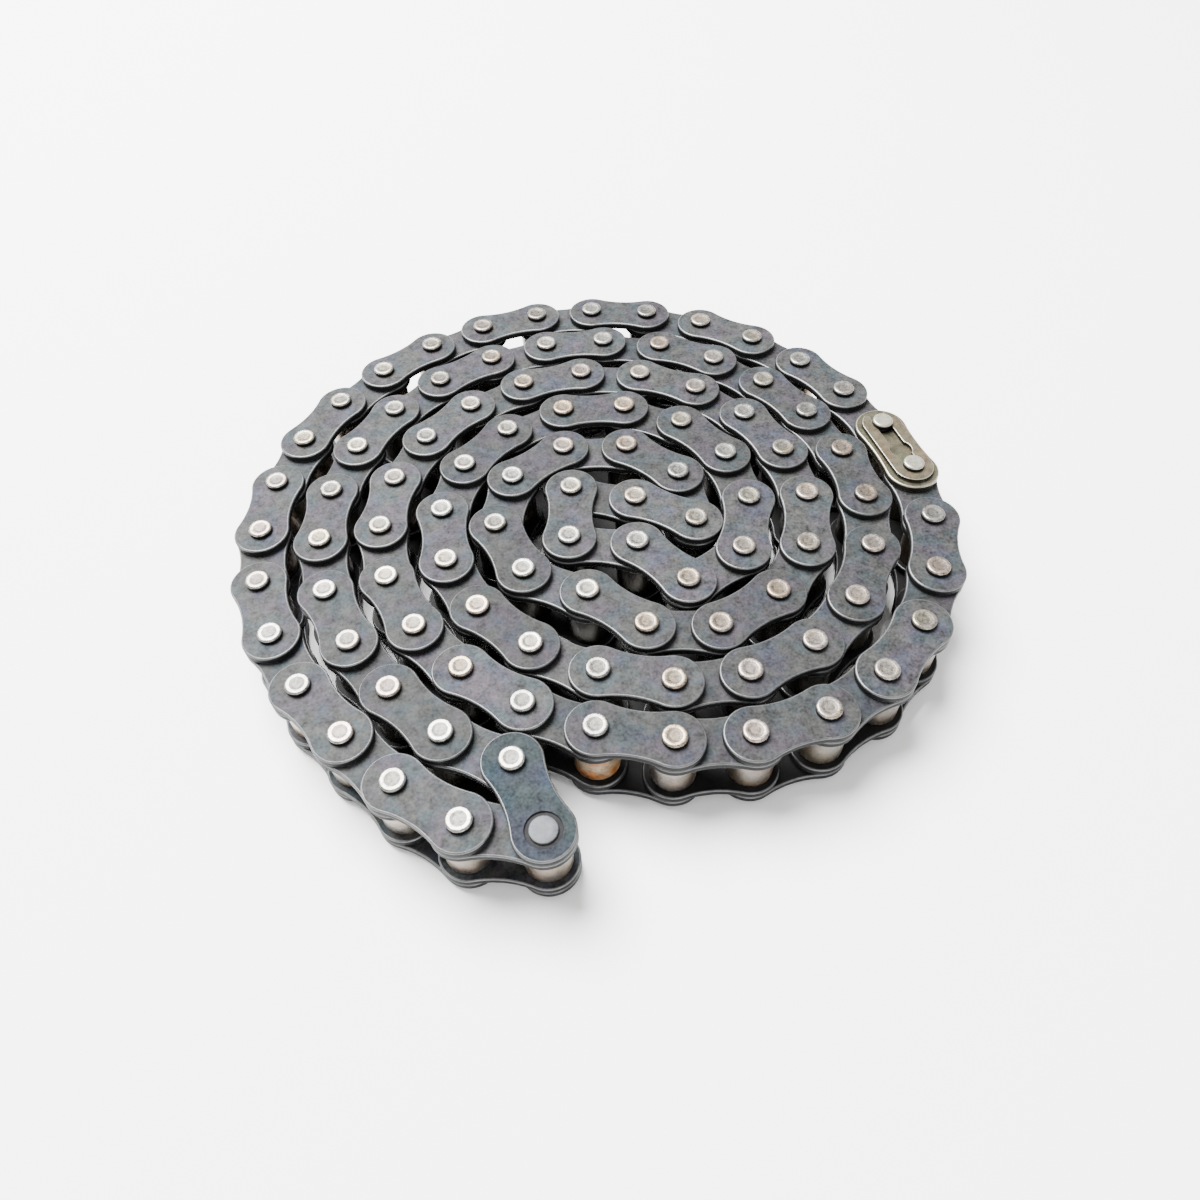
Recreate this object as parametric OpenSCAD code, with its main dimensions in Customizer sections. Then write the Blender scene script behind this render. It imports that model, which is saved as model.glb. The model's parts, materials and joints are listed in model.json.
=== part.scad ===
// Roller chain, 12.7 mm pitch: one closed loop of 100 links with a connecting link.
// The loop is folded flat into a double strand and rolled up into a coil that lies on
// its side, so every pin stands upright. Millimetres, +Z up, origin under the middle.
// Twelve links at the outer end swing out of the coil; the rest is the wound coil.

/* [Plates] */
// Width across a link plate at its round ends
plate_h = 10.2; // [9.9:0.1:10.2]
// Width across a link plate at its waist
plate_waist = 8.4; // [8.0:0.1:8.8]
// Thickness of every link plate
plate_t = 1.5; // [1.2:0.1:1.6]
// Gap between an inner plate and the outer plate beside it
plate_gap = 0.08; // [0.05:0.01:0.12]

/* [Pins and rollers] */
// Clear width between the inner plates
inner_w = 7.85; // [7:0.05:8.2]
// Diameter of a pin
pin_d = 3.96; // [3.6:0.02:4]
// Diameter of the riveted pin ends
rivet_d = 4.3; // [4.1:0.1:4.5]
// Height that a riveted end stands out of its plate
rivet_h = 1.1; // [0.8:0.1:1.2]
// Outer diameter of a bush
bush_d = 5.6; // [5.4:0.05:5.8]
// Outer diameter of a roller
roller_d = 7.92; // [7.7:0.01:8.1]
// Radial play of a pin in its bush
pin_play = 0.03; // [0.02:0.01:0.05]
// Radial play of a roller on its bush
roller_play = 0.05; // [0.04:0.01:0.08]
// Play of a roller between the plates, at each end
roller_end_play = 0.08; // [0.05:0.01:0.15]

/* [Connecting link] */
// Thickness of the spring clip
clip_t = 0.8; // [0.6:0.1:0.9]
// Width across the spring clip
clip_w = 7.8; // [7:0.1:8.4]
// Diameter of the groove that holds the clip
groove_d = 2.9; // [2.7:0.1:3.1]
// Height of the pin end above the clip's groove
pin_nose = 0.9; // [0.6:0.1:1.2]

/* [Hidden] */
// Pin to pin distance of the chain, which the lay of the coil is worked out for
pitch = 12.7;
// Links in the loop, and links in the part that swings out
links = 100;
swing_links = 12;
// First pin of the connecting link
connecting_pin = 21;

// Heights, from the lower pin ends upwards
lower_outer_z = rivet_h;
lower_inner_z = lower_outer_z + plate_t + plate_gap;
upper_inner_z = lower_inner_z + plate_t + inner_w;
upper_outer_z = upper_inner_z + plate_t + plate_gap;
plates_top_z = upper_outer_z + plate_t;
pin_l = plates_top_z + rivet_h;
bush_l = upper_inner_z + plate_t - lower_inner_z;
roller_l = inner_w - 2 * roller_end_play;
plate_r = plate_h / 2;
edge = 0.25;

// Lay of the coil: two strands side by side on one slightly oval, three-lobed spiral
coil_r = 70.2;
turn_step = 22.06;
strand_gap = 11.1;
oval = 0.047;
oval_angle = -37;
lobes = 0.015;
lobe_angle = 73;
outer_start = -137.1;
inner_start = -138.3;
outer_pins = 45;
inner_pins = 34;
// Headings of n links in a row: that of the first, and how far each next one bends on
function even_bends(first, bend, n) = [for (i = [0:n - 1]) first + bend * i];

// The inner fold: the outer strand leaves the spiral, curls tightly round the middle,
// doubles back on itself, and crosses over to meet the end of the inner strand
leave_spiral = even_bends(-150, -35, 3);
tight_curl = even_bends(153, -39, 7);
double_back = even_bends(149, 14, 2);
cross_over = even_bends(-94, 0, 1);
outer_fold = concat(leave_spiral, tight_curl, double_back, cross_over);
inner_fold = even_bends(-103, -46, 2);
// The last two links of each strand on their way out to the outer fold
outer_lead = even_bends(-45, 10, 2);
inner_lead = even_bends(-45, 18, 2);

// Distance of the spiral from the middle of the coil at angle a
function spiral_r(a, inset) =
    (coil_r - inset - turn_step * (outer_start - a) / 360)
    * (1 + oval * cos(2 * (a - oval_angle)) + lobes * cos(3 * (a - lobe_angle)));

// Angle between two pins one pitch apart on the spiral, improved n times
function step_angle(a, inset, d, n = 12) =
    n == 0 ? d :
    let (r1 = spiral_r(a, inset), r2 = spiral_r(a - d, inset))
    step_angle(a, inset, acos((r1 * r1 + r2 * r2 - pitch * pitch) / (2 * r1 * r2)), n - 1);

// Pins of a strand, wound clockwise and inwards from angle a
function strand(a, inset, n) =
    n == 0 ? [] :
    let (d = step_angle(a, inset, pitch / spiral_r(a, inset) * 180 / PI))
    concat([spiral_r(a, inset) * [cos(a), sin(a)]], strand(a - d, inset, n - 1));

// Pins that go on from point p along a list of headings
function follow(p, headings, i = 0) =
    i == len(headings) ? [] :
    let (q = p + pitch * [cos(headings[i]), sin(headings[i])])
    concat([q], follow(q, headings, i + 1));

// The pin that joins points p and q with two links, on the left of the way from p to q
function bridge(p, q) =
    let (d = q - p, l = norm(d), h = sqrt(pitch * pitch - l * l / 4))
    (p + q) / 2 + h / l * [-d[1], d[0]];

function reversed(v) = [for (i = [len(v) - 1:-1:0]) v[i]];
function last(v) = v[len(v) - 1];

outer_strand = strand(outer_start, 0, outer_pins);
inner_strand = strand(inner_start, strand_gap, inner_pins);
outer_end = follow(last(outer_strand), outer_fold);
inner_end = follow(last(inner_strand), inner_fold);
outer_front = follow(outer_strand[0], outer_lead);
inner_front = follow(inner_strand[0], inner_lead);
loop = concat(
    [bridge(last(inner_front), last(outer_front))],
    reversed(outer_front),
    outer_strand,
    outer_end,
    [bridge(last(outer_end), last(inner_end))],
    reversed(inner_end),
    reversed(inner_strand),
    inner_front
);

// The loop moved so that its box is centred on the origin
xs = [for (p = loop) p[0]];
ys = [for (p = loop) p[1]];
middle = [(min(xs) + max(xs)) / 2, (min(ys) + max(ys)) / 2];
pins = [for (p = loop) p - middle];

function pin_at(i) = pins[i % links];
function heading(i) = let (d = pin_at(i + 1) - pin_at(i)) atan2(d[1], d[0]);

// Links are numbered from 1 at the end that swings out: odd ones are inner links
function two(n) = str(n < 10 ? "0" : "", n);
inner_links = [1:2:swing_links];
outer_links = [2:2:swing_links];
coil_inner_links = [swing_links:2:links - 2];
coil_outer_links = [for (i = [swing_links + 1:2:links - 3]) if (i != connecting_pin) i];
fold_link = links - 1;

$fn = 48;

// Places its children at pin i, upright
module on_pin(i) {
    translate([pin_at(i)[0], pin_at(i)[1], 0]) children();
}

// Places its children on the link from pin i to the next one, which lies along X
module on_link(i) {
    on_pin(i) rotate(heading(i)) children();
}

// Outline of a waisted plate between two pins, its waist tangent to its round ends
module plate_outline(waist = plate_waist) {
    half = waist / 2;
    waist_r = (pitch * pitch / 4 + half * half - plate_r * plate_r) / (2 * (plate_r - half));
    waist_y = half + waist_r;
    tangent_y = plate_r * waist_y / (plate_r + waist_r);
    difference() {
        union() {
            circle(r = plate_r);
            translate([pitch, 0]) circle(r = plate_r);
            translate([0, -tangent_y]) square([pitch, 2 * tangent_y]);
        }
        for (side = [-1, 1])
            translate([pitch / 2, side * waist_y]) circle(r = waist_r);
    }
}

// A plate with a bore at each pin
module plate(z, bore_d, waist = plate_waist) {
    translate([0, 0, z]) linear_extrude(plate_t) difference() {
        plate_outline(waist);
        circle(d = bore_d);
        translate([pitch, 0]) circle(d = bore_d);
    }
}

module outer_plate_upper() { plate(upper_outer_z, pin_d); }
module outer_plate_lower() { plate(lower_outer_z, pin_d); }
module inner_plate_upper() { plate(upper_inner_z, bush_d); }
module inner_plate_lower() { plate(lower_inner_z, bush_d); }

// A pin with both ends riveted over the outer plates
module riveted_pin() {
    r = pin_d / 2;
    head_r = rivet_d / 2;
    rotate_extrude() polygon([
        [0, 0], [head_r - edge, 0], [head_r, edge], [head_r, rivet_h], [r, rivet_h],
        [r, plates_top_z], [head_r, plates_top_z], [head_r, pin_l - edge],
        [head_r - edge, pin_l], [0, pin_l]
    ]);
}

// A bush, pressed into both inner plates
module bush() {
    translate([0, 0, lower_inner_z]) difference() {
        cylinder(d = bush_d, h = bush_l);
        translate([0, 0, -1]) cylinder(d = pin_d + 2 * pin_play, h = bush_l + 2);
    }
}

// A roller, free to turn on its bush
module roller() {
    r_in = bush_d / 2 + roller_play;
    r_out = roller_d / 2;
    translate([0, 0, lower_inner_z + plate_t + roller_end_play]) rotate_extrude() polygon([
        [r_in, 0], [r_out - edge, 0], [r_out, edge], [r_out, roller_l - edge],
        [r_out - edge, roller_l], [r_in, roller_l]
    ]);
}

// The wound coil

module coil_outer_plates_upper() {
    color("dimgray") for (i = coil_outer_links) on_link(i) outer_plate_upper();
}
module coil_outer_plates_lower() {
    color("dimgray") for (i = coil_outer_links) on_link(i) outer_plate_lower();
}
module coil_inner_plates_upper() {
    color("slategray") for (i = coil_inner_links) on_link(i) inner_plate_upper();
}
module coil_inner_plates_lower() {
    color("slategray") for (i = coil_inner_links) on_link(i) inner_plate_lower();
}
module coil_pins() {
    color("silver") {
        for (i = coil_outer_links, end = [0, 1]) on_pin(i + end) riveted_pin();
        on_pin(fold_link) riveted_pin();
    }
}
module coil_bushes() {
    color("darkgray") for (i = coil_inner_links, end = [0, 1]) on_pin(i + end) bush();
}
module coil_rollers() {
    color("gainsboro") for (i = coil_inner_links, end = [0, 1]) on_pin(i + end) roller();
}

// The outer fold: its last outer link holds two short studs instead of a pin, so
// that the first link of the swinging part can slide out between its plates

stud_d = 4.6;
stud_proud = 0.15;
stud_recess_d = 5.9;
stud_recess = 0.3;

module fold_plate(z, recess_z) {
    difference() {
        translate([0, 0, z]) linear_extrude(plate_t) difference() {
            plate_outline();
            circle(d = pin_d);
            translate([pitch, 0]) circle(d = stud_d);
        }
        translate([pitch, 0, recess_z]) cylinder(d = stud_recess_d, h = 2 * stud_recess, center = true);
    }
}
module fold_plate_upper() {
    color("slategray") on_link(fold_link) fold_plate(upper_outer_z, plates_top_z);
}
module fold_plate_lower() {
    color("slategray") on_link(fold_link) fold_plate(lower_outer_z, lower_outer_z);
}
module fold_studs() {
    color("lightgray") on_pin(0) {
        translate([0, 0, upper_outer_z]) cylinder(d = stud_d, h = plate_t + stud_proud);
        translate([0, 0, lower_outer_z - stud_proud]) cylinder(d = stud_d, h = plate_t + stud_proud);
    }
}

// The connecting link: a plate with two long pins, a loose cover plate and a clip

cover_waist = 9.4;
clip_play = 0.1;
groove_h = clip_t + 2 * clip_play;
connecting_pin_l = plates_top_z + groove_h + pin_nose;
slot_w = groove_d + 0.1;
// Distance from the clip's closed seat to the wide place that passes over a pin end
clip_travel = 4.9;
clip_end = 3.1;

module connecting_pin_plate() {
    color("darkkhaki") on_link(connecting_pin) outer_plate_lower();
}
module connecting_pins() {
    r = pin_d / 2;
    head_r = rivet_d / 2;
    groove_r = groove_d / 2;
    groove_top = plates_top_z + groove_h;
    color("khaki") for (end = [0, 1]) on_pin(connecting_pin + end) rotate_extrude() polygon([
        [0, 0], [head_r - edge, 0], [head_r, edge], [head_r, rivet_h], [r, rivet_h],
        [r, plates_top_z], [groove_r, plates_top_z], [groove_r, groove_top],
        [r, groove_top], [r, connecting_pin_l - edge], [r - edge, connecting_pin_l],
        [0, connecting_pin_l]
    ]);
}
module connecting_cover_plate() {
    color("darkkhaki") on_link(connecting_pin) plate(upper_outer_z, pin_d, cover_waist);
}
module spring_clip() {
    mouth = pitch + clip_end;
    color("tan") on_link(connecting_pin) translate([pitch, 0, plates_top_z + clip_play])
    rotate(180) linear_extrude(clip_t) difference() {
        union() {
            circle(d = clip_w);
            translate([0, -clip_w / 2]) square([pitch, clip_w]);
            intersection() {
                translate([pitch, 0]) circle(d = clip_w);
                translate([0, -clip_w / 2]) square([mouth, clip_w]);
            }
        }
        circle(d = slot_w);
        translate([0, -slot_w / 2]) square([mouth + 1, slot_w]);
        translate([clip_travel, 0]) circle(d = pin_d + 0.4);
        polygon([[mouth - 1.2, 0], [mouth + 0.5, -3], [mouth + 0.5, 3]]);
    }
}

// The part that swings out

module inner_link_plates(n) {
    color("slategray") on_link(n - 1) {
        inner_plate_upper();
        inner_plate_lower();
    }
}
module inner_link_bushes(n) {
    color("darkgray") for (end = [0, 1]) on_pin(n - 1 + end) bush();
}
module outer_link_plates(n) {
    color("dimgray") on_link(n - 1) {
        outer_plate_upper();
        outer_plate_lower();
    }
}
module outer_link_pins(n) {
    color("silver") for (end = [0, 1]) on_pin(n - 1 + end) riveted_pin();
}
module single_roller(n) {
    color("gainsboro") on_pin(n - 1) roller();
}

coil_outer_plates_upper();
coil_outer_plates_lower();
coil_inner_plates_upper();
coil_inner_plates_lower();
coil_pins();
coil_bushes();
coil_rollers();
fold_plate_upper();
fold_plate_lower();
fold_studs();
connecting_pin_plate();
connecting_pins();
connecting_cover_plate();
spring_clip();
for (n = inner_links) {
    inner_link_plates(n);
    inner_link_bushes(n);
}
for (n = outer_links) {
    outer_link_plates(n);
    outer_link_pins(n);
}
for (n = [1:swing_links])
    single_roller(n);
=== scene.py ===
import json
import math

import bmesh
import bpy
from mathutils import Matrix, Vector
from mathutils.geometry import tessellate_polygon


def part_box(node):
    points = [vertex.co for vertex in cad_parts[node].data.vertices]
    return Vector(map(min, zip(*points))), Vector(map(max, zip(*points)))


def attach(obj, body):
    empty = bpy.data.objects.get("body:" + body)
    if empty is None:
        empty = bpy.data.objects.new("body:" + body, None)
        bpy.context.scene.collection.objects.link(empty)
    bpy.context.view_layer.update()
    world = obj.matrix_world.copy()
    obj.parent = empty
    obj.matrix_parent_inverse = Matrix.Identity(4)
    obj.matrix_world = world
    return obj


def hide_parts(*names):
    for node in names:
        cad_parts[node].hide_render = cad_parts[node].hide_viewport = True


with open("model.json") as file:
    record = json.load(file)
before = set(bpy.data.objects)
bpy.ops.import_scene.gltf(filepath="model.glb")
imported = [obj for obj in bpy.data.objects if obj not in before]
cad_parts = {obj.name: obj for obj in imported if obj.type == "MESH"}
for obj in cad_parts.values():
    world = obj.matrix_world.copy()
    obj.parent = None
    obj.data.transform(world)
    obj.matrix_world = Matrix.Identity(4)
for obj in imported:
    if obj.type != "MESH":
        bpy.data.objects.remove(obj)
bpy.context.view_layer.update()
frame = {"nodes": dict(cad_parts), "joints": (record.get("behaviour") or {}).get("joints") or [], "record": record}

# ---------------------------------------------------------------- sizes, in metres
MM = 0.001
PITCH = 12.7 * MM
PLATE_R = 5.1 * MM            # round ends of a plate
PLATE_WAIST = 4.2 * MM        # half width at the waist
COVER_WAIST = 4.7 * MM        # half width of the cover plate's waist
PIN_R = 1.98 * MM
RIVET_R = 2.15 * MM
GROOVE_R = 1.45 * MM
BUSH_R = 2.8 * MM
BUSH_BORE_R = 2.01 * MM
ROLLER_R = 3.96 * MM
ROLLER_BORE_R = 2.85 * MM
STUD_R = 2.3 * MM
RECESS_R = 2.95 * MM
RECESS_DEPTH = 0.3 * MM
CLIP_R = 3.9 * MM
CLIP_SLOT_R = 1.5 * MM
CLIP_TRAVEL = 4.9 * MM
CLIP_PASS_R = 2.18 * MM
CLIP_END = 3.1 * MM
PLATE_EDGE = 0.28 * MM        # rounding of a punched plate's rim
RIVET_H = 1.1 * MM
RIVET_EDGE = 0.4 * MM
DISH_RIM_R = 1.3 * MM         # the dished middle of a pin end
DISH_FLAT_R = 0.85 * MM
DISH_LIP = 0.02 * MM
DISH_DEPTH = 0.14 * MM
NOSE_H = 0.9 * MM             # pin end above the clip's groove
NOSE_EDGE = 0.35 * MM
GROOVE_H = 1.0 * MM

ARC_STEPS = 20                # points round half a plate end
BORE_STEPS = 32
LATHE_STEPS = 36
CLIP_END_STEPS = 8            # points of the clip's arcs at its open end
CLIP_PASS_STEPS = 10          # points round the clip's wide middle


# ---------------------------------------------------------------- small mesh tools
class Shape:
    """Vertices, faces, a material number for each face, and whether it is smooth."""

    def __init__(self):
        self.verts, self.faces, self.mats, self.smooth = [], [], [], []

    def ring(self, points):
        start = len(self.verts)
        self.verts.extend(points)
        return list(range(start, start + len(points)))

    def face(self, corners, mat, smooth):
        self.faces.append(tuple(corners))
        self.mats.append(mat)
        self.smooth.append(smooth)

    def bridge(self, a, b, mat, smooth=True):
        n = len(a)
        for i in range(n):
            j = (i + 1) % n
            self.face((a[i], a[j], b[j], b[i]), mat, smooth)

    def cap(self, rings, mat, up):
        """Fills an outline and its holes, all at one height."""
        index = [i for ring in rings for i in ring]
        for tri in tessellate_polygon([[self.verts[i] for i in ring] for ring in rings]):
            a, b, c = (index[k] for k in tri)
            va, vb, vc = (self.verts[k] for k in (a, b, c))
            faces_up = (vb - va).cross(vc - va).z > 0
            self.face((a, b, c) if faces_up == up else (a, c, b), mat, False)

    def place(self, other, matrix, mats=None):
        """Adds a copy of another shape, moved by a matrix, its materials renumbered."""
        start = len(self.verts)
        self.verts.extend(matrix @ Vector(v) for v in other.verts)
        self.faces.extend(tuple(start + i for i in f) for f in other.faces)
        self.mats.extend(mats[m] if mats else m for m in other.mats)
        self.smooth.extend(other.smooth)

    def build(self, name, materials):
        mesh = bpy.data.meshes.new(name)
        mesh.from_pydata([tuple(v) for v in self.verts], [], self.faces)
        for material in materials:
            mesh.materials.append(material)
        mesh.polygons.foreach_set("material_index", self.mats)
        mesh.polygons.foreach_set("use_smooth", self.smooth)
        mesh.update()
        obj = bpy.data.objects.new(name, mesh)
        bpy.context.scene.collection.objects.link(obj)
        return obj


def corner_normals(points):
    """Outward directions of a counter-clockwise outline, lengthened at its corners."""
    n = len(points)
    out = []
    for i in range(n):
        before = (points[i] - points[i - 1]).normalized()
        after = (points[(i + 1) % n] - points[i]).normalized()
        n1, n2 = Vector((before.y, -before.x)), Vector((after.y, -after.x))
        both = n1 + n2
        out.append(both / max(both.dot(n1), 0.4))
    return out


def rounded(edge, steps=3):
    """Inset and drop of a quarter round, from the flat face down to the side."""
    turn = [math.pi / 2 * k / steps for k in range(steps + 1)]
    return [(edge * (1 - math.sin(a)), edge * (1 - math.cos(a))) for a in turn]


def arc(centre, radius, start, end, steps):
    """Points along an arc, angles in radians, both ends included."""
    turn = [start + (end - start) * k / steps for k in range(steps + 1)]
    return [centre + Vector((radius * math.cos(a), radius * math.sin(a))) for a in turn]


def circle(centre, radius, steps=BORE_STEPS):
    return arc(centre, radius, 0, 2 * math.pi, steps)[:-1]


def at_height(points, z):
    """Flat points, lifted to one height."""
    return [p.to_3d() + Vector((0, 0, z)) for p in points]


# Plate material slots: the flat faces, the rounded rims with a painted highlight, and the side and bore walls with
# painted shade.
FACE, LIT_RIM, SHADED_SIDE = 0, 1, 2


def sheet_metal(outline, bores, z0, z1, edge):
    """A flat plate with rounded rims. A bore is its middle and its (radius, height) profile,
    from the top down. The outline runs counter-clockwise."""
    shape = Shape()
    normals = corner_normals(outline)
    upper_rim = [(inset, z1 - drop) for inset, drop in rounded(edge)]
    lower_rim = [(inset, z0 + drop) for inset, drop in reversed(rounded(edge))]
    rings = []
    for inset, z in upper_rim + lower_rim:
        inner = [p - n * inset for p, n in zip(outline, normals)]
        rings.append(shape.ring(at_height(inner, z)))
    for k, (upper, lower) in enumerate(zip(rings, rings[1:])):
        shape.bridge(lower, upper, SHADED_SIDE if k == len(upper_rim) - 1 else LIT_RIM)
    tops, bottoms = [rings[0]], [rings[-1]]
    for centre, profile in bores:
        rings = [shape.ring(at_height(circle(centre, r), z)) for r, z in profile]
        for k, (upper, lower) in enumerate(zip(rings, rings[1:])):
            ledge = profile[k][1] == profile[k + 1][1]
            shape.bridge(upper, lower, SHADED_SIDE, not ledge)
        tops.append(rings[0])
        bottoms.append(rings[-1])
    shape.cap(tops, FACE, True)
    shape.cap(bottoms, FACE, False)
    return shape


def plain_bore(radius, z0, z1, edge=0.08 * MM):
    return [(radius + edge, z1), (radius, z1 - edge), (radius, z0 + edge), (radius + edge, z0)]


def lathe(profile, steps=LATHE_STEPS):
    """Turns a profile of (radius, height, material), outside upwards, about Z."""
    shape = Shape()
    rings = []
    for r, z, _ in profile:
        if r == 0:
            rings.append(shape.ring([Vector((0, 0, z))]))
        else:
            rings.append(shape.ring(at_height(circle(Vector((0, 0)), r, steps), z)))
    closed = profile[0][0] != 0
    for k in range(len(rings) if closed else len(rings) - 1):
        after = (k + 1) % len(rings)
        a, b, mat = rings[k], rings[after], profile[k][2]
        smooth = abs(profile[k][1] - profile[after][1]) > 1e-9
        for i in range(steps):
            j = (i + 1) % steps
            if len(a) == 1:
                shape.face((a[0], b[j], b[i]), mat, smooth)
            elif len(b) == 1:
                shape.face((a[i], a[j], b[0]), mat, smooth)
            else:
                shape.face((a[i], a[j], b[j], b[i]), mat, smooth)
    return shape


def waisted_outline(half_waist):
    """A plate's outline: round ends joined by arcs that are tangent to them."""
    half = PITCH / 2
    waist_r = (half ** 2 + half_waist ** 2 - PLATE_R ** 2) / (2 * (PLATE_R - half_waist))
    waist_y = half_waist + waist_r
    lean = math.atan2(waist_y, half)
    first, second = Vector((0, 0)), Vector((PITCH, 0))
    below, above = Vector((half, -waist_y)), Vector((half, waist_y))
    steps = ARC_STEPS // 2
    points = arc(first, PLATE_R, lean, 2 * math.pi - lean, ARC_STEPS * 2)[:-1]
    points += arc(below, waist_r, math.pi - lean, lean, steps)[:-1]
    points += arc(second, PLATE_R, lean - math.pi, math.pi - lean, ARC_STEPS * 2)[:-1]
    points += arc(above, waist_r, -lean, lean - math.pi, steps)[:-1]
    return points


# ---------------------------------------------------------------- places, from the frame
def solid_boxes(node):
    """Lowest and highest corner of each separate solid of a CAD node."""
    bm = bmesh.new()
    bm.from_mesh(frame["nodes"][node].data)
    bmesh.ops.remove_doubles(bm, verts=bm.verts, dist=1e-6)
    seen, boxes = set(), []
    for vert in bm.verts:
        if vert in seen:
            continue
        seen.add(vert)
        group, stack = [], [vert]
        while stack:
            v = stack.pop()
            group.append(v.co.copy())
            for e in v.link_edges:
                other = e.other_vert(v)
                if other not in seen:
                    seen.add(other)
                    stack.append(other)
        low = Vector([min(c[k] for c in group) for k in range(3)])
        high = Vector([max(c[k] for c in group) for k in range(3)])
        boxes.append((low, high))
    bm.free()
    return boxes


nodes = sorted(frame["nodes"])
body_of = {n: b for b, ns in frame["record"]["behaviour"]["bodies"].items() for n in ns}

# Every pin axis: the middles of the pins, and of the two studs at the outer fold
axes = []
for name in nodes:
    if name.endswith("_pins") or name == "fold_studs":
        for low, high in solid_boxes(name):
            axis = ((low + high) / 2).xy
            if all((axis - other).length > 0.5 * MM for other in axes):
                axes.append(axis)


def pin_places(node):
    """A matrix for each round solid of a node, at its axis, on the floor plane."""
    places = []
    for low, high in solid_boxes(node):
        middle = (low + high) / 2
        axis = min(axes, key=lambda a: (a - middle.xy).length)
        places.append(Matrix.Translation((axis.x, axis.y, 0)))
    return places


def plate_places(node):
    """A matrix for each plate of a node: first pin at the origin, second along X."""
    places = []
    for low, high in solid_boxes(node):
        middle = ((low + high) / 2).xy
        a, b = sorted(axes, key=lambda p: abs((p - middle).length - PITCH / 2) + (p - middle).length)[:2]
        along = b - a
        turn = Matrix.Rotation(math.atan2(along.y, along.x), 4, "Z")
        places.append((Matrix.Translation((a.x, a.y, 0)) @ turn, low.z, high.z))
    return places


# ---------------------------------------------------------------- materials
def material(name):
    mat = bpy.data.materials.new(name)
    mat.use_nodes = True
    tree = mat.node_tree
    tree.nodes.clear()
    out = tree.nodes.new("ShaderNodeOutputMaterial")
    shader = tree.nodes.new("ShaderNodeBsdfPrincipled")
    tree.links.new(shader.outputs["BSDF"], out.inputs["Surface"])
    return mat, shader


class Nodes:
    """Short ways to add the nodes of one material."""

    def __init__(self, mat):
        self.tree = mat.node_tree
        self.coords = self.add("ShaderNodeTexCoord").outputs["Object"]

    def add(self, kind):
        return self.tree.nodes.new(kind)

    def wire(self, value, socket):
        if isinstance(value, tuple):
            socket.default_value = (*value, 1)
        elif isinstance(value, (int, float)):
            socket.default_value = value
        else:
            self.tree.links.new(value, socket)

    def noise(self, size, detail=3, stretch=None):
        """Noise whose features are about this size, in metres."""
        node = self.add("ShaderNodeTexNoise")
        node.inputs["Scale"].default_value = 1 / size
        node.inputs["Detail"].default_value = detail
        node.inputs["Roughness"].default_value = 0.6
        if stretch:
            mapping = self.add("ShaderNodeMapping")
            mapping.inputs["Scale"].default_value = stretch
            mapping.inputs["Rotation"].default_value = (0, 0, 0.6)
            self.wire(self.coords, mapping.inputs["Vector"])
            self.wire(mapping.outputs["Vector"], node.inputs["Vector"])
        else:
            self.wire(self.coords, node.inputs["Vector"])
        return node.outputs["Fac"]

    def ramp(self, value, stops):
        node = self.add("ShaderNodeValToRGB")
        elements = node.color_ramp.elements
        while len(elements) < len(stops):
            elements.new(0.5)
        for element, (place, colour) in zip(elements, stops):
            element.position = place
            element.color = (*colour, 1)
        self.wire(value, node.inputs["Fac"])
        return node.outputs["Color"]

    def math(self, kind, a, b, c=0.0):
        node = self.add("ShaderNodeMath")
        node.operation = kind
        for socket, value in zip(node.inputs, (a, b, c)):
            self.wire(value, socket)
        return node.outputs["Value"]

    def mix(self, kind, factor, a, b):
        node = self.add("ShaderNodeMix")
        node.data_type = "RGBA"
        node.blend_type = kind
        # The three colour sockets of a mix node share their names with hidden ones
        sockets = [socket for socket in node.inputs if socket.enabled]
        for socket, value in zip(sockets, (factor, a, b)):
            self.wire(value, socket)
        return next(out for out in node.outputs if out.enabled)

    def per_solid(self, spread):
        """A grey that differs from one solid to the next, around 1."""
        random = self.add("ShaderNodeNewGeometry").outputs["Random Per Island"]
        value = self.math("MULTIPLY_ADD", random, spread, 1 - spread / 2)
        shade = self.add("ShaderNodeCombineColor")
        for socket in shade.inputs:
            self.wire(value, socket)
        return shade.outputs["Color"]


def steel(name, dark, light, metallic, rough, blotch=3 * MM, grain=0.25 * MM, relief=0.012 * MM, spread=0.0,
          tints=(), tint_size=9 * MM, brushed=0.0, sheen=0.5):
    """Procedural steel: mottled colour, tinted patches, fine grain, uneven gloss."""
    mat, shader = material(name)
    paint = Nodes(mat)
    shader.inputs["Metallic"].default_value = metallic
    shader.inputs["Specular IOR Level"].default_value = sheen
    blotches = paint.noise(blotch, 4)
    fine = paint.noise(grain, 2)
    value = paint.math("MULTIPLY_ADD", fine, 0.45, paint.math("MULTIPLY", blotches, 0.55))
    colour = paint.ramp(value, [(0.32, dark), (0.68, light)])
    for k, tint in enumerate(tints):
        patch = paint.noise(tint_size * (1 + 0.37 * k), 2)
        mask = paint.ramp(patch, [(0.46, (0, 0, 0)), (0.62, (1, 1, 1))])
        colour = paint.mix("MIX", mask, colour, paint.mix("MULTIPLY", 1.0, colour, tint))
    if spread:
        colour = paint.mix("MULTIPLY", 1.0, colour, paint.per_solid(spread))
    paint.wire(colour, shader.inputs["Base Color"])
    gloss = paint.math("MULTIPLY_ADD", fine, 0.16, rough - 0.12)
    paint.wire(paint.math("MULTIPLY_ADD", blotches, 0.1, gloss), shader.inputs["Roughness"])
    height = paint.math("MULTIPLY_ADD", blotches, 1.5, fine)
    if brushed:
        lines = paint.noise(0.5 * MM, 2, (1, 0.06, 1))
        height = paint.math("MULTIPLY_ADD", lines, brushed, height)
    bump = paint.add("ShaderNodeBump")
    bump.inputs["Strength"].default_value = 0.5
    bump.inputs["Distance"].default_value = relief
    paint.wire(height, bump.inputs["Height"])
    paint.wire(bump.outputs["Normal"], shader.inputs["Normal"])
    return mat


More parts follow.
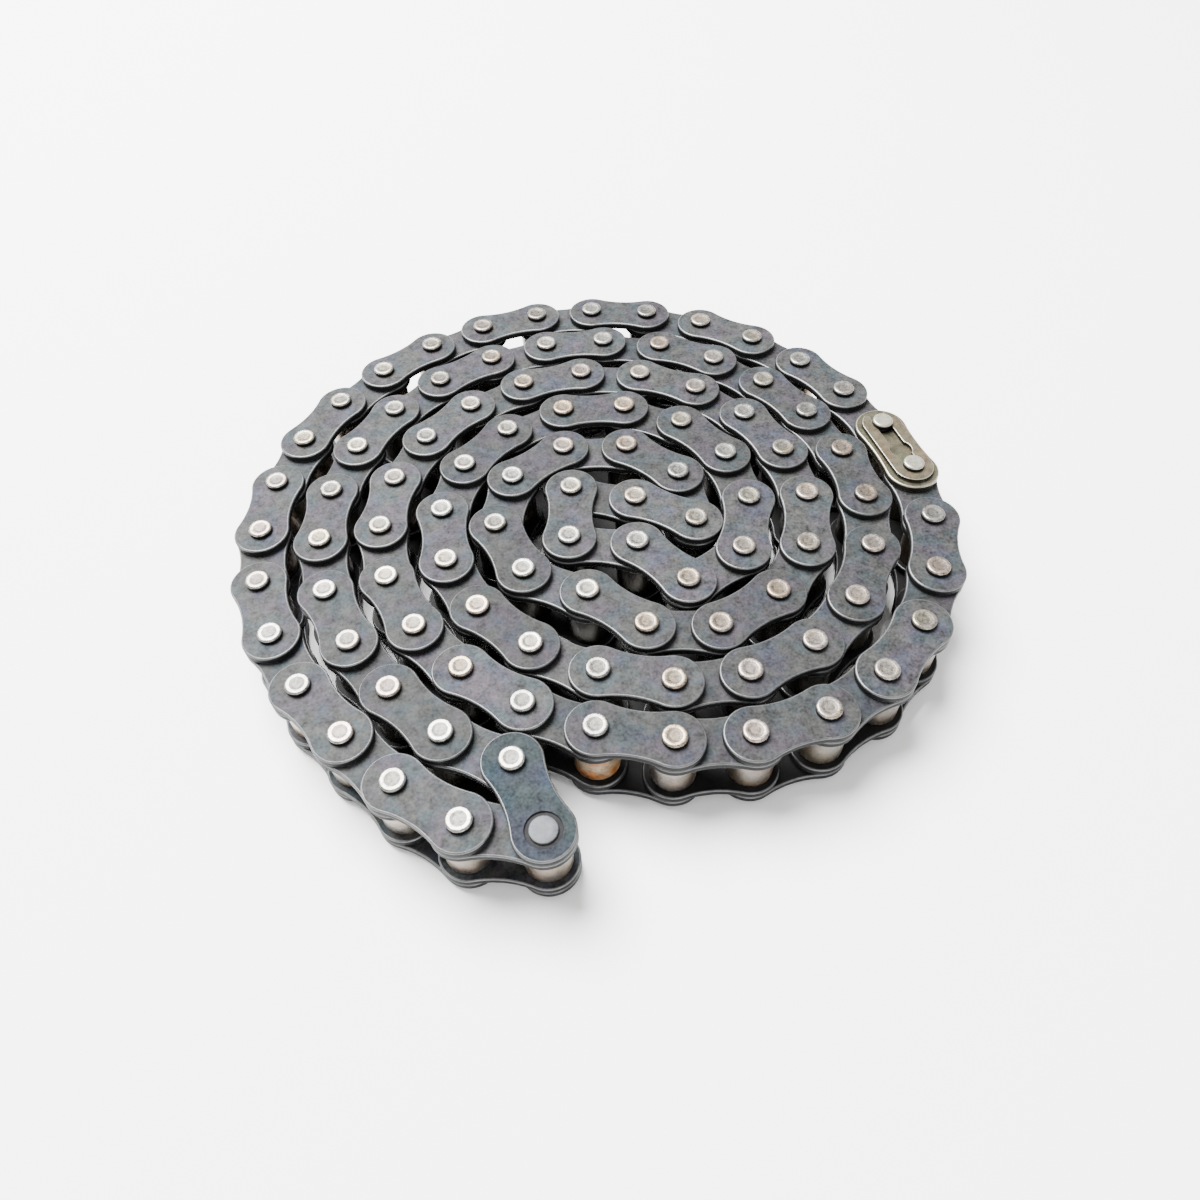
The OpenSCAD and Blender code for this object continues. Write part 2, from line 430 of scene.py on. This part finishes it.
TEAL, PLUM, STRAW, ROSE = (0.8, 1.0, 1.12), (1.06, 0.92, 1.14), (1.1, 1.02, 0.84), (1.12, 0.94, 0.88)
PLATE = steel("plate_steel", (0.005, 0.0052, 0.0051), (0.052, 0.0522, 0.0505), 0.3, 0.62,
              blotch=1.6 * MM, grain=0.5 * MM, relief=0.018 * MM, spread=0.4, tints=(TEAL, PLUM),
              tint_size=5 * MM, brushed=0.8, sheen=0.14)
INNER = steel("inner_plate_steel", (0.005, 0.0052, 0.0051), (0.049, 0.0492, 0.0476), 0.3, 0.62,
              blotch=1.6 * MM, grain=0.5 * MM, relief=0.018 * MM, spread=0.4, tints=(TEAL, PLUM),
              tint_size=5 * MM, brushed=0.8, sheen=0.14)
# Lower plates: darkened, painted shade where they lie under and between the upper plates.
SHADED = steel("lower_plate_painted_shade", (0.006, 0.006, 0.006), (0.016, 0.0155, 0.015), 0.3, 0.5, spread=0.3,
               sheen=0.14)
FOLD_PLATE = steel("fold_plate_steel", (0.005, 0.007, 0.008), (0.031, 0.0395, 0.042), 0.3, 0.66,
                   blotch=2 * MM, grain=0.5 * MM, relief=0.018 * MM, tints=(TEAL, PLUM), brushed=0.8,
                   sheen=0.08)
# Rounded plate rims: lighter than the faces, a painted highlight along every edge.
PLATE_RIM_HIGHLIGHT = steel("plate_rim_painted_highlight", (0.045, 0.046, 0.047), (0.13, 0.131, 0.132), 0.7, 0.38, spread=0.4)
# Side walls and bore walls of plates: near black, painted shade.
PLATE_SIDE_SHADE = steel("plate_side_painted_shade", (0.005, 0.005, 0.0055), (0.018, 0.018, 0.019), 0.3, 0.6,
                   blotch=1.2 * MM, sheen=0.1)
RIVET = steel("rivet_steel", (0.06, 0.0585, 0.053), (0.4, 0.392, 0.372), 0.85, 0.3, blotch=0.7 * MM,
              spread=0.55, tints=(STRAW, ROSE), tint_size=18 * MM)
RIVET_DISH = steel("rivet_dish_steel", (0.016, 0.0154, 0.013), (0.16, 0.155, 0.141), 0.7, 0.42,
                   blotch=0.6 * MM, spread=0.6, tints=(STRAW, ROSE), tint_size=18 * MM)
# Pin flanks: near black, a painted shadow round the foot of each pin end.
RIVET_FLANK_SHADE = steel("rivet_flank_painted_shade", (0.004, 0.004, 0.004), (0.012, 0.012, 0.012), 0.3, 0.5,
                    sheen=0.1)
STUD = steel("stud_steel", (0.03, 0.032, 0.036), (0.075, 0.078, 0.084), 0.5, 0.5, blotch=1 * MM,
             sheen=0.3)
ROLLER = steel("roller_steel", (0.09, 0.08, 0.068), (0.3, 0.276, 0.242), 0.92, 0.3, blotch=3 * MM,
               relief=0.004 * MM, spread=0.45, tints=(STRAW, ROSE), tint_size=6 * MM, brushed=0.15)
# Rollers with another strand just outside them: darkened, painted shade between strands.
ROLLER_SHADE = steel("roller_painted_shade", (0.02, 0.018, 0.015), (0.07, 0.062, 0.05), 0.6, 0.35, spread=0.5)
STAINED = steel("stained_roller_steel", (0.06, 0.016, 0.004), (0.4, 0.3, 0.17), 0.55, 0.36,
                blotch=2 * MM, grain=0.6 * MM, relief=0.006 * MM, tints=((1.15, 0.6, 0.25),),
                tint_size=2.2 * MM)
# Bushes: darkened, painted shade where they show in the gaps between plates.
BUSH_SHADE = steel("bush_steel", (0.02, 0.02, 0.02), (0.06, 0.058, 0.056), 0.6, 0.38)
GOLD = steel("gold_plate_steel", (0.02, 0.018, 0.011), (0.085, 0.078, 0.052), 0.4, 0.46,
             blotch=1.6 * MM, tints=((1.1, 0.93, 0.93), (0.88, 1.02, 0.9)), tint_size=4 * MM,
             brushed=0.9, sheen=0.2)
# Rims of the connecting plates and clip: lighter than their faces, a painted highlight.
GOLD_RIM_HIGHLIGHT = steel("gold_rim_painted_highlight", (0.16, 0.15, 0.115), (0.38, 0.36, 0.29), 0.75, 0.32)
# Side and bore walls of the connecting plates: dark, painted shade.
GOLD_SIDE_SHADE = steel("gold_side_painted_shade", (0.01, 0.009, 0.0065), (0.03, 0.028, 0.02), 0.4, 0.42, sheen=0.2)
GOLD_PIN = steel("gold_pin_steel", (0.2, 0.19, 0.15), (0.5, 0.48, 0.39), 0.75, 0.32, blotch=1 * MM)
CLIP = steel("clip_steel", (0.03, 0.026, 0.016), (0.12, 0.107, 0.072), 0.45, 0.42, blotch=1.6 * MM,
             tints=(ROSE,), tint_size=4 * MM, brushed=0.9, sheen=0.25)
# Side walls of the clip: dark, painted shade.
CLIP_SIDE_SHADE = steel("clip_side_painted_shade", (0.006, 0.0055, 0.004), (0.02, 0.018, 0.013), 0.4, 0.45,
                  sheen=0.15)


def finish_piece(shape, node, materials):
    """Builds a piece that rides on its node's body and stands for it; the node's own part is hidden."""
    obj = shape.build(node + "_detail", materials)
    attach(obj, body_of[node])
    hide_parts(node)


def plates_piece(node, bore_r, materials, half_waist=PLATE_WAIST):
    outline = waisted_outline(half_waist)
    shape = Shape()
    for matrix, z0, z1 in plate_places(node):
        bores = [(Vector((x, 0)), plain_bore(bore_r, z0, z1)) for x in (0, PITCH)]
        shape.place(sheet_metal(outline, bores, z0, z1, PLATE_EDGE), matrix)
    finish_piece(shape, node, materials)


def fold_plate_piece(node):
    """The plate at the outer fold: a pin bore, and a stud's bore with a recess round it."""
    (matrix, z0, z1), = plate_places(node)
    edge = 0.06 * MM
    if z0 > MIDDLE_Z:
        ledge = z1 - RECESS_DEPTH
        recess = [(RECESS_R + edge, z1), (RECESS_R, z1 - edge), (RECESS_R, ledge)]
        recess += [(STUD_R, ledge), (STUD_R, z0)]
    else:
        ledge = z0 + RECESS_DEPTH
        recess = [(STUD_R, z1), (STUD_R, ledge)]
        recess += [(RECESS_R, ledge), (RECESS_R, z0 + edge), (RECESS_R + edge, z0)]
    bores = []
    for x in (0, PITCH):
        at_stud = ((matrix @ Vector((x, 0, 0))).xy - fold_axis).length < PIN_R
        bores.append((Vector((x, 0)), recess if at_stud else plain_bore(PIN_R, z0, z1)))
    shape = Shape()
    shape.place(sheet_metal(waisted_outline(PLATE_WAIST), bores, z0, z1, PLATE_EDGE), matrix)
    finish_piece(shape, node, [FOLD_PLATE, PLATE_RIM_HIGHLIGHT, PLATE_SIDE_SHADE])


# Pin material slots: the peened top, its dish, and the flank with painted shadow.
TOP, DISH, SHADED_FLANK = 0, 1, 2


def peened_end(top):
    """Profile of the upper pin end, from its plate to the dished middle."""
    points = [(RIVET_R - 0.05 * MM, top - RIVET_H, SHADED_FLANK), (RIVET_R, top - RIVET_EDGE, TOP)]
    for inset, drop in reversed(rounded(RIVET_EDGE, 5)[:-1]):
        points.append((RIVET_R - inset, top - drop, TOP))
    points.append((DISH_RIM_R, top - DISH_LIP, DISH))
    points.append((DISH_FLAT_R, top - DISH_DEPTH, DISH))
    points.append((0, top - DISH_DEPTH, DISH))
    return points


def lower_end(profile, low):
    """The same profile turned upside down, from the middle outwards."""
    points = [(r, low - z) for r, z, _ in reversed(profile)]
    mats = [m for _, _, m in reversed(profile)][1:] + [SHADED_FLANK]
    return [(r, z, m) for (r, z), m in zip(points, mats)]


def pins_piece(node):
    low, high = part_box(node)
    profile = lower_end(peened_end(0), low.z)
    profile += [(PIN_R, low.z + RIVET_H, SHADED_FLANK), (PIN_R, high.z - RIVET_H, SHADED_FLANK)]
    profile += peened_end(high.z)
    pin = lathe(profile)
    shape = Shape()
    for matrix in pin_places(node):
        shape.place(pin, matrix)
    finish_piece(shape, node, [RIVET, RIVET_DISH, RIVET_FLANK_SHADE])


def connecting_pins_piece(node):
    low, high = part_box(node)
    nose_z = high.z - NOSE_H
    profile = lower_end(peened_end(0), low.z)
    profile += [(PIN_R, low.z + RIVET_H, SHADED_FLANK), (PIN_R, nose_z - GROOVE_H, SHADED_FLANK)]
    profile += [(GROOVE_R, nose_z - GROOVE_H, SHADED_FLANK), (GROOVE_R, nose_z, SHADED_FLANK), (PIN_R, nose_z, SHADED_FLANK)]
    for inset, drop in reversed(rounded(NOSE_EDGE, 4)):
        profile.append((PIN_R - inset, high.z - drop, TOP))
    profile += [(1.0 * MM, high.z - 0.01 * MM, TOP), (0, high.z - 0.05 * MM, TOP)]
    pin = lathe(profile)
    shape = Shape()
    for matrix in pin_places(node):
        shape.place(pin, matrix)
    finish_piece(shape, node, [GOLD_PIN, GOLD_PIN, RIVET_FLANK_SHADE])


def tubes_piece(node, r_in, r_out, edge, materials, material_at=None):
    """Bushes or rollers: tubes with rounded outer rims and a small chamfer inside."""
    low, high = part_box(node)
    chamfer = 0.1 * MM
    profile = [(r_in, high.z - chamfer, 0), (r_in, low.z + chamfer, 0), (r_in + chamfer, low.z, 0)]
    profile += [(r_out - inset, low.z + drop, 0) for inset, drop in rounded(edge, 4)]
    profile += [(r_out - inset, high.z - drop, 0) for inset, drop in reversed(rounded(edge, 4))]
    profile.append((r_in + chamfer, high.z, 0))
    tube = lathe(profile)
    shape = Shape()
    for matrix in pin_places(node):
        shape.place(tube, matrix, [material_at(matrix.translation.xy) if material_at else 0])
    finish_piece(shape, node, materials)


def clip_outline():
    """The spring clip: closed seat at the origin, jaws open past the second pin."""
    mouth = PITCH + CLIP_END
    flare_y = 2.12 * MM
    flare_l = 0.35 * MM
    end = math.acos(CLIP_END / CLIP_R)
    lean = math.asin(CLIP_SLOT_R / CLIP_PASS_R)
    first, second, wide = Vector((0, 0)), Vector((PITCH, 0)), Vector((CLIP_TRAVEL, 0))
    points = arc(first, CLIP_R, math.pi / 2, 3 * math.pi / 2, ARC_STEPS)
    points += arc(second, CLIP_R, -math.pi / 2, -end, CLIP_END_STEPS)
    points += [Vector((mouth, -flare_y)), Vector((mouth - flare_l, -CLIP_SLOT_R))]
    points += arc(wide, CLIP_PASS_R, -lean, lean - math.pi, CLIP_PASS_STEPS)
    points += arc(first, CLIP_SLOT_R, -math.pi / 2, -3 * math.pi / 2, ARC_STEPS)
    points += arc(wide, CLIP_PASS_R, math.pi - lean, lean, CLIP_PASS_STEPS)
    points += [Vector((mouth - flare_l, CLIP_SLOT_R)), Vector((mouth, flare_y))]
    points += arc(second, CLIP_R, end, math.pi / 2, CLIP_END_STEPS)
    return points


def clip_piece(node):
    """The clip's closed end is the one it slides towards."""
    low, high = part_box(node)
    slide = next(Vector(joint["axis"]).xy for joint in frame["joints"] if joint["name"] == "clip_slide")
    ends = sorted(axes, key=lambda axis: (axis - ((low + high) / 2).xy).length)[:2]
    closed, opened = sorted(ends, key=slide.dot, reverse=True)
    along = opened - closed
    matrix = Matrix.Translation(closed.to_3d()) @ Matrix.Rotation(math.atan2(along.y, along.x), 4, "Z")
    shape = Shape()
    shape.place(sheet_metal(clip_outline(), [], low.z, high.z, 0.13 * MM), matrix)
    finish_piece(shape, node, [CLIP, GOLD_RIM_HIGHLIGHT, CLIP_SIDE_SHADE])


def studs_piece(node):
    edge = 0.2 * MM
    stud_boxes = solid_boxes(node)
    shape = Shape()
    for low, high in stud_boxes:
        height = high.z - low.z
        profile = [(0, 0, 0), (STUD_R, 0, 0)]
        profile += [(STUD_R - inset, height - drop, 0) for inset, drop in reversed(rounded(edge, 3))]
        profile += [(1.0 * MM, height - 0.01 * MM, 0), (0, height - 0.06 * MM, 0)]
        matrix = Matrix.Translation((fold_axis.x, fold_axis.y, low.z))
        if low.z < MIDDLE_Z:
            matrix = Matrix.Translation((fold_axis.x, fold_axis.y, high.z)) @ Matrix.Rotation(math.pi, 4, "X")
        shape.place(lathe(profile), matrix)
    finish_piece(shape, node, [STUD])


# Roller materials: plain, darkened with painted shade between strands, and stained.
BRIGHT_ROLLER, SHADED_ROLLER, STAINED_ROLLER = 0, 1, 2
NEAREST_STRAND = 0.3 * PITCH
FARTHEST_STRAND = 1.6 * PITCH
STRAND_REACH = 0.6 * PITCH


def roller_material(axis):
    """One roller beside the outer fold is stained. Where another strand lies outside a roller,
    within the reach below, it is painted dark as shade between the strands; all others are plain."""
    if axis == stained_axis:
        return STAINED_ROLLER
    outward = axis.normalized()
    for other in axes:
        step = other - axis
        along = step.dot(outward)
        sideways = (step - outward * along).length
        if NEAREST_STRAND < along < FARTHEST_STRAND and sideways < STRAND_REACH:
            return SHADED_ROLLER
    return BRIGHT_ROLLER


fold_axis = ((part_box("fold_studs")[0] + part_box("fold_studs")[1]) / 2).xy
roller_axes = [m.translation.xy for m in pin_places("coil_rollers")]
front_right = [axis for axis in roller_axes if axis.x > fold_axis.x and axis.y < 0]
stained_axis = min(front_right, key=lambda axis: (axis - fold_axis).length)
MIDDLE_Z = sum(corner.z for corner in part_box("coil_pins")) / 2

for name in nodes:
    if name == "spring_clip":
        clip_piece(name)
    elif name == "fold_studs":
        studs_piece(name)
    elif name.startswith("fold_plate"):
        fold_plate_piece(name)
    elif name == "connecting_pins":
        connecting_pins_piece(name)
    elif name == "connecting_cover_plate":
        plates_piece(name, PIN_R, [GOLD, GOLD_RIM_HIGHLIGHT, GOLD_SIDE_SHADE], COVER_WAIST)
    elif name == "connecting_pin_plate":
        plates_piece(name, PIN_R, [GOLD, GOLD_RIM_HIGHLIGHT, GOLD_SIDE_SHADE])
    elif name.endswith("_pins"):
        pins_piece(name)
    elif "roller" in name:
        tubes_piece(name, ROLLER_BORE_R, ROLLER_R, 0.3 * MM, [ROLLER, ROLLER_SHADE, STAINED], roller_material)
    elif "bushes" in name:
        tubes_piece(name, BUSH_BORE_R, BUSH_R, 0.15 * MM, [BUSH_SHADE])
    elif name.endswith("plates_lower"):
        plates_piece(name, BUSH_R if "inner" in name else PIN_R, [SHADED, PLATE_RIM_HIGHLIGHT, PLATE_SIDE_SHADE])
    elif "inner" in name:
        plates_piece(name, BUSH_R, [INNER, PLATE_RIM_HIGHLIGHT, PLATE_SIDE_SHADE])
    else:
        plates_piece(name, PIN_R, [PLATE, PLATE_RIM_HIGHLIGHT, PLATE_SIDE_SHADE])


# ---------------------------------------------------------------- floor, light, camera
def studio_floor():
    half = 3.0
    mesh = bpy.data.meshes.new("floor")
    corners = [(-half, -half, 0), (half, -half, 0), (half, half, 0), (-half, half, 0)]
    mesh.from_pydata(corners, [], [(0, 1, 2, 3)])
    floor = bpy.data.objects.new("floor", mesh)
    bpy.context.scene.collection.objects.link(floor)
    mat, shader = material("floor_paper")
    shader.inputs["Base Color"].default_value = (0.95, 0.95, 0.945, 1)
    shader.inputs["Roughness"].default_value = 0.8
    mesh.materials.append(mat)


def area_light(name, place, size, power):
    """A round soft box that faces the middle of the coil."""
    data = bpy.data.lights.new(name, "AREA")
    data.shape = "DISK"
    data.size = size
    data.energy = power
    light = bpy.data.objects.new(name, data)
    light.location = place
    light.rotation_euler = (-Vector(place)).to_track_quat("-Z", "Y").to_euler()
    bpy.context.scene.collection.objects.link(light)


studio_floor()
area_light("key", (-0.30, 0.38, 0.90), 0.75, 77)
area_light("fill_front", (0.2, -1.0, 0.35), 0.6, 5)

world = bpy.data.worlds.new("studio")
world.use_nodes = True
world.node_tree.nodes["Background"].inputs["Color"].default_value = (1, 1, 1, 1)
world.node_tree.nodes["Background"].inputs["Strength"].default_value = 1.12
bpy.context.scene.world = world

# The camera stands in front of the outer fold and looks down on the coil, a little rolled
CAMERA_PLACE = Vector((-2.06, -120.15, 143.71)) * MM
CAMERA_DOWN = math.radians(52.39)
CAMERA_TURN = math.radians(-1.2)
CAMERA_ROLL = math.radians(2.9)
FOCAL_SHARE = 0.77            # focal length over the frame's width

ahead = Vector((-math.sin(CAMERA_TURN), math.cos(CAMERA_TURN), 0))
forward = ahead * math.cos(CAMERA_DOWN) - Vector((0, 0, math.sin(CAMERA_DOWN)))
level_right = Vector((math.cos(CAMERA_TURN), math.sin(CAMERA_TURN), 0))
level_up = level_right.cross(forward)
right = math.cos(CAMERA_ROLL) * level_right - math.sin(CAMERA_ROLL) * level_up
up = math.sin(CAMERA_ROLL) * level_right + math.cos(CAMERA_ROLL) * level_up
camera_data = bpy.data.cameras.new("camera")
camera_data.sensor_width = 36
camera_data.lens = FOCAL_SHARE * camera_data.sensor_width
camera_data.clip_start = 0.005
camera_data.clip_end = 20
camera = bpy.data.objects.new("camera", camera_data)
camera.matrix_world = Matrix((right, up, -forward)).transposed().to_4x4()
camera.location = CAMERA_PLACE
bpy.context.scene.collection.objects.link(camera)
bpy.context.scene.camera = camera
